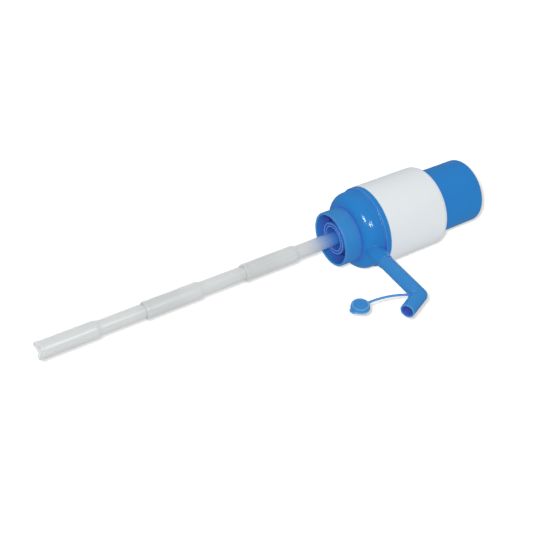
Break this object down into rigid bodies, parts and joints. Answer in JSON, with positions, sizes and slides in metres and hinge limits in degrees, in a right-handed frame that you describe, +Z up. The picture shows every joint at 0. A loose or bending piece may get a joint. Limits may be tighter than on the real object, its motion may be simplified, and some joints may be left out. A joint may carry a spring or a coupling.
{
  "type": "water jug hand pump",
  "caption": "Hand pump for a returnable water jug: collar, domed housing, sprung press cap in a white sleeve, turning spout with a tethered cap, jointed suction tube.",
  "frame": {"origin": "on the pump's axis, where the rim of the jug's neck seats on the gasket inside the collar", "axes": "+Z up the pump's axis towards the press cap, -Y along the spout"},
  "size_m": [0.0888, 0.1809, 0.5116],
  "materials": {
    "gloss_blue": "moulded, glossy",
    "satin_blue": "moulded, satin",
    "white_sleeve": "moulded, satin",
    "frosted_tube": "extruded, frosted, translucent",
    "clear_cylinder": "moulded, clear",
    "inner_white": "moulded",
    "seal_rubber": "moulded",
    "seal_blue": "moulded silicone",
    "screw_steel": "plain stainless",
    "spring_steel": "drawn wire"
  },
  "bodies": {
    "pump_body": {"neck_collar": "satin_blue", "neck_gasket": "seal_blue", "neck_plug": "satin_blue", "tube_socket": "satin_blue", "tube_o_ring": "seal_rubber", "lower_housing": "gloss_blue", "valve_plate": "inner_white", "plate_screws": "screw_steel", "inlet_valve_cage": "inner_white", "outlet_valve_stop": "inner_white", "cylinder_gasket": "seal_rubber", "pump_cylinder": "clear_cylinder", "cylinder_cover": "inner_white", "return_spring": "spring_steel", "barrel_sleeve": "white_sleeve", "suction_tube_upper": "frosted_tube", "suction_tube_middle": "frosted_tube", "suction_tube_lower": "frosted_tube"},
    "plunger": {"press_cap": "gloss_blue", "piston_rod": "inner_white", "piston": "inner_white", "piston_cup": "seal_rubber", "piston_washer": "screw_steel", "piston_screw": "screw_steel"},
    "inlet_flap": {"inlet_valve_flap": "seal_rubber"},
    "outlet_flap": {"outlet_valve_flap": "seal_rubber"},
    "turning_spout": {"spout": "satin_blue", "spout_o_ring": "seal_rubber"},
    "strap": {"tether_strap": "satin_blue"},
    "nozzle_cap": {"dust_cap": "satin_blue"}
  },
  "joints": [
    {"name": "press", "type": "slide", "parent": "pump_body", "child": "plunger", "axis": [0, 0, -1], "range_m": [0, 0.042], "stiffness_N_per_m": 175, "springref_m": -0.064, "deforming": ["return_spring"]},
    {"name": "inlet_valve_lift", "type": "slide", "parent": "pump_body", "child": "inlet_flap", "axis": [0, 0, 1], "range_m": [0, 0.0021]},
    {"name": "outlet_valve_lift", "type": "slide", "parent": "pump_body", "child": "outlet_flap", "axis": [0, -1, 0], "range_m": [0, 0.0016], "stiffness_N_per_m": 20},
    {"name": "spout_swivel", "type": "hinge", "parent": "pump_body", "child": "turning_spout", "pos_m": [0, -0.059, 0.0142], "axis": [0, -1, 0], "continuous": true},
    {"name": "tether_swing", "type": "hinge", "parent": "turning_spout", "child": "strap", "pos_m": [0, -0.1106, 0.0046], "axis": [-1, 0, 0], "range_deg": [-12, 35], "stiffness_Nm_per_rad": 0.01},
    {"name": "dust_cap_twist", "type": "hinge", "parent": "strap", "child": "nozzle_cap", "pos_m": [0, -0.10036, -0.0343], "axis": [0, 0, -1], "range_deg": [0, 90], "stiffness_Nm_per_rad": 0.004}
  ]
}
